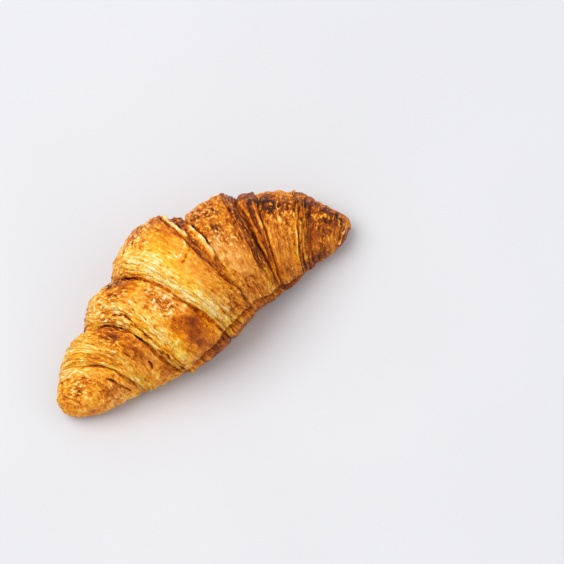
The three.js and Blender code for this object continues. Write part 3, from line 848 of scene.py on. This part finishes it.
class Graph:
    def __init__(self, name):
        self.m = bpy.data.materials.new(name)
        self.m.use_nodes = True
        self.t = self.m.node_tree
        self.b = self.t.nodes["Principled BSDF"]

    def node(self, kind, **props):
        n = self.t.nodes.new(kind)
        for k, v in props.items():
            setattr(n, k, v)
        return n

    def put(self, socket, value):
        if isinstance(value, bpy.types.NodeSocket):
            self.t.links.new(value, socket)
        else:
            socket.default_value = value

    def attr(self, name, out="Fac"):
        return self.node("ShaderNodeAttribute", attribute_name=name).outputs[out]

    def math(self, op, a, b=0.0, clamp=False):
        n = self.node("ShaderNodeMath", operation=op, use_clamp=clamp)
        self.put(n.inputs[0], a)
        self.put(n.inputs[1], b)
        return n.outputs[0]

    def noise(self, vector, scale, detail=3.0, rough=0.55, distortion=0.0):
        n = self.node("ShaderNodeTexNoise")
        self.put(n.inputs["Vector"], vector)
        n.inputs["Scale"].default_value = scale
        n.inputs["Detail"].default_value = detail
        n.inputs["Roughness"].default_value = rough
        n.inputs["Distortion"].default_value = distortion
        return n.outputs["Fac"]

    def stretched(self, vector, scale, place=(0, 0, 0)):
        n = self.node("ShaderNodeMapping")
        self.put(n.inputs["Vector"], vector)
        n.inputs["Scale"].default_value = scale
        n.inputs["Location"].default_value = place
        return n.outputs["Vector"]

    def ramp(self, fac, stops):
        n = self.node("ShaderNodeValToRGB")
        self.put(n.inputs["Fac"], fac)
        e = n.color_ramp.elements
        while len(e) < len(stops):
            e.new(0.5)
        for el, (p, c) in zip(e, stops):
            el.position = p
            el.color = lin(c)
        return n.outputs["Color"]

    def mix(self, fac, a, b):
        n = self.node("ShaderNodeMix", data_type="RGBA")
        self.put(n.inputs["Factor"], fac)
        self.put(n.inputs["A"], a)
        self.put(n.inputs["B"], b)
        return n.outputs["Result"]


g = Graph("baked_dough")
roll_at = g.attr("roll", "Vector")
wavy = g.node("ShaderNodeTexNoise")
g.put(wavy.inputs["Vector"], roll_at)
wavy.inputs["Scale"].default_value = 0.35
wavy.inputs["Detail"].default_value = 2.0
bent = g.node("ShaderNodeVectorMath", operation="MULTIPLY_ADD")
g.put(bent.inputs[0], wavy.outputs["Color"])
bent.inputs[1].default_value = (1.6, 1.6, 0)
g.put(bent.inputs[2], roll_at)
bent_at = bent.outputs["Vector"]
grain = g.noise(roll_at, 1.1, 4.0, 0.6)
streaks = g.noise(g.stretched(bent_at, (1.35, 0.075, 1), (31, 7, 0)), 1.0, 4.0, 0.62)
specks = g.noise(g.stretched(roll_at, (1, 0.5, 1), (5, 57, 0)), 0.7, 3.0, 0.62)
cells = g.node("ShaderNodeTexVoronoi", feature="F1")
g.put(cells.inputs["Vector"], g.stretched(bent_at, (0.62, 0.5, 1)))
cells.inputs["Scale"].default_value = 1.0
rim = g.node("ShaderNodeMapRange", interpolation_type="SMOOTHSTEP")
g.put(rim.inputs["Value"], cells.outputs["Distance"])
rim.inputs["From Min"].default_value = 0.12
rim.inputs["From Max"].default_value = 0.55
rim = rim.outputs["Result"]
spot = g.attr("spotted")
layer = g.attr("layered")


def around_half(x):
    return g.math("SUBTRACT", x, 0.5)


gloss = g.attr("gloss")
amount = g.math("SUBTRACT", 0.44, g.math("MULTIPLY", gloss, 0.34))
fleck = g.math("ADD", g.math("MULTIPLY", around_half(grain), amount), g.attr("tone"))
amount = g.math("ADD", g.math("MULTIPLY", layer, 2.0), 0.16)
fleck = g.math("ADD", g.math("MULTIPLY", around_half(streaks), amount), fleck)
amount = g.math("MULTIPLY", spot, 0.55)
fleck = g.math("ADD", g.math("MULTIPLY", around_half(rim), amount), fleck)


def band_of(x, low, high):
    n = g.node("ShaderNodeMapRange", interpolation_type="SMOOTHSTEP")
    g.put(n.inputs["Value"], x)
    n.inputs["From Min"].default_value = low
    n.inputs["From Max"].default_value = high
    return n.outputs["Result"]


# pale specks: pale crust and painted glints of the glaze; the dark specks are browned crust
speck_and_glint = band_of(specks, 0.55, 0.64)
dark_speck = band_of(specks, 0.45, 0.34)
amount = g.math("ADD", g.math("MULTIPLY", spot, 0.55), 0.12)
fleck = g.math("SUBTRACT", fleck, g.math("MULTIPLY", speck_and_glint, amount))
amount = g.math("ADD", g.math("MULTIPLY", spot, 0.24), 0.1)
fleck = g.math("ADD", g.math("MULTIPLY", dark_speck, amount), fleck)
# thin contour lines of the uppermost layers, each darkened at its foot with painted shade
leaf = g.noise(g.stretched(bent_at, (0.2, 0.045, 1), (3, 91, 0)), 1.0, 3.0, 0.55)
saw = g.node("ShaderNodeMath", operation="FRACT")
g.put(saw.inputs[0], g.math("MULTIPLY", leaf, 15.0))
saw = saw.outputs[0]
foot_line = g.node("ShaderNodeMapRange", interpolation_type="SMOOTHSTEP")
g.put(foot_line.inputs["Value"], saw)
foot_line.inputs["From Min"].default_value = 0.0
foot_line.inputs["From Max"].default_value = 0.12
foot_line.inputs["To Min"].default_value = 1.0
foot_line.inputs["To Max"].default_value = 0.0
foot_line = foot_line.outputs["Result"]
amount = g.math("ADD", g.math("MULTIPLY", layer, 0.5), 0.07)
fleck = g.math("ADD", g.math("MULTIPLY", foot_line, amount), fleck, clamp=True)
golden = g.ramp(
    fleck,
    (
        (0.0, (255, 238, 180)),
        (0.1, (255, 221, 104)),
        (0.22, (255, 198, 42)),
        (0.36, (250, 170, 12)),
        (0.5, (234, 138, 2)),
        (0.62, (205, 105, 1)),
        (0.75, (163, 69, 0)),
        (0.88, (110, 38, 0)),
        (1.0, (52, 14, 0)),
    ),
)
dull = g.ramp(
    fleck,
    (
        (0.0, (255, 240, 208)),
        (0.2, (255, 210, 140)),
        (0.4, (243, 170, 80)),
        (0.55, (220, 134, 44)),
        (0.72, (170, 88, 18)),
        (1.0, (66, 24, 4)),
    ),
)
g.put(g.b.inputs["Base Color"], g.mix(g.attr("tan"), golden, dull))
rough = g.math("SUBTRACT", 0.58, g.math("MULTIPLY", gloss, 0.3))
rough = g.math("ADD", rough, g.math("MULTIPLY", around_half(grain), 0.2))
g.put(g.b.inputs["Roughness"], rough)
g.b.inputs["Specular IOR Level"].default_value = 0.3
g.b.inputs["Specular Tint"].default_value = (1.0, 0.72, 0.4, 1.0)
g.b.inputs["Coat Weight"].default_value = 0.04
g.b.inputs["Coat Roughness"].default_value = 0.16
bump = g.node("ShaderNodeBump")
bump.inputs["Strength"].default_value = 1.0
bump.inputs["Distance"].default_value = 0.0009
height = g.math("MULTIPLY", streaks, g.math("ADD", g.math("MULTIPLY", layer, 0.7), 0.3))
height = g.math("ADD", height, g.math("MULTIPLY", grain, 0.5))
height = g.math("ADD", height, g.math("MULTIPLY", saw, g.math("ADD", g.math("MULTIPLY", layer, 0.4), 0.08)))
height = g.math("SUBTRACT", height, g.math("MULTIPLY", rim, g.math("MULTIPLY", spot, 0.6)))
g.put(bump.inputs["Height"], g.math("ADD", height, g.math("MULTIPLY", specks, 0.6)))
g.put(g.b.inputs["Normal"], bump.outputs["Normal"])
mesh.materials.append(g.m)

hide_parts("croissant")
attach(body, "root")

# ---- floor, light, camera -----------------------------------------------------------
floor_mesh = bpy.data.meshes.new("floor")
floor_mesh.from_pydata(
    [(-4, -4, 0), (4, -4, 0), (4, 4, 0), (-4, 4, 0)], [], [(0, 1, 2, 3)]
)
floor = bpy.data.objects.new("floor", floor_mesh)
bpy.context.scene.collection.objects.link(floor)
floor.location.z = -0.0002
f = Graph("pale_floor")
where = f.node("ShaderNodeTexCoord").outputs["Object"]
f.put(
    f.b.inputs["Base Color"],
    f.ramp(f.noise(where, 6.0, 2.0), ((0.3, (209, 211, 217)), (0.7, (213, 215, 221)))),
)
f.b.inputs["Roughness"].default_value = 0.6
f.b.inputs["Specular IOR Level"].default_value = 0.2
floor_mesh.materials.append(f.m)

# The camera of the reference view, in the spine's own frame (mm).
ELEVATION, ROLL_LEFT, AZIMUTH = 63.684, 30.0, -2.994
SCALE, AWAY = 2.267, 1150.0
e, a, rho = (math.radians(v) for v in (ELEVATION, AZIMUTH, ROLL_LEFT))
view = Vector((math.sin(a) * math.cos(e), -math.cos(a) * math.cos(e), math.sin(e)))
right0 = Vector((math.cos(a), math.sin(a), 0))
up0 = Vector((-math.sin(a) * math.sin(e), math.cos(a) * math.sin(e), math.cos(e)))
right = math.cos(rho) * right0 - math.sin(rho) * up0
up = math.sin(rho) * right0 + math.cos(rho) * up0
offset = Vector((0.738, 13.53, BASE_CUT))
eye = view * AWAY - offset
target = right * 31.39 + up * 20.29 - offset
cam = bpy.data.cameras.new("camera")
cam.sensor_width = 36
cam.lens = SCALE * AWAY / 564 * 36
cam.clip_start, cam.clip_end = 0.05, 20
camera = bpy.data.objects.new("camera", cam)
bpy.context.scene.collection.objects.link(camera)
back = (eye - target).normalized()
cx = up.cross(back).normalized()
cy = back.cross(cx)
camera.matrix_world = Matrix(
    (
        (cx.x, cy.x, back.x, eye.x / 1000),
        (cx.y, cy.y, back.y, eye.y / 1000),
        (cx.z, cy.z, back.z, eye.z / 1000),
        (0, 0, 0, 1),
    )
)
bpy.context.scene.camera = camera


def area(name, direction, distance, size, power, colour=(1, 1, 1)):
    light = bpy.data.lights.new(name, "AREA")
    light.shape = "DISK"
    light.size = size
    light.energy = power
    light.color = colour
    o = bpy.data.objects.new(name, light)
    bpy.context.scene.collection.objects.link(o)
    d = direction.normalized()
    o.location = d * distance
    o.rotation_euler = d.to_track_quat("Z", "Y").to_euler()


area("key", -0.7 * right + 0.5 * up + 0.85 * view, 2.2, 2.2, 34.0, (1.0, 0.985, 0.95))
area("fill", 0.8 * right + 0.2 * up + 0.8 * view, 2.2, 1.6, 5.0, (1.0, 0.975, 0.94))
world = bpy.data.worlds.new("studio")
bpy.context.scene.world = world
world.use_nodes = True
world.node_tree.nodes["Background"].inputs["Color"].default_value = (1.0, 0.985, 0.965, 1)
world.node_tree.nodes["Background"].inputs["Strength"].default_value = 0.74
bpy.context.scene.view_settings.view_transform = "Standard"
bpy.context.scene.view_settings.look = "None"
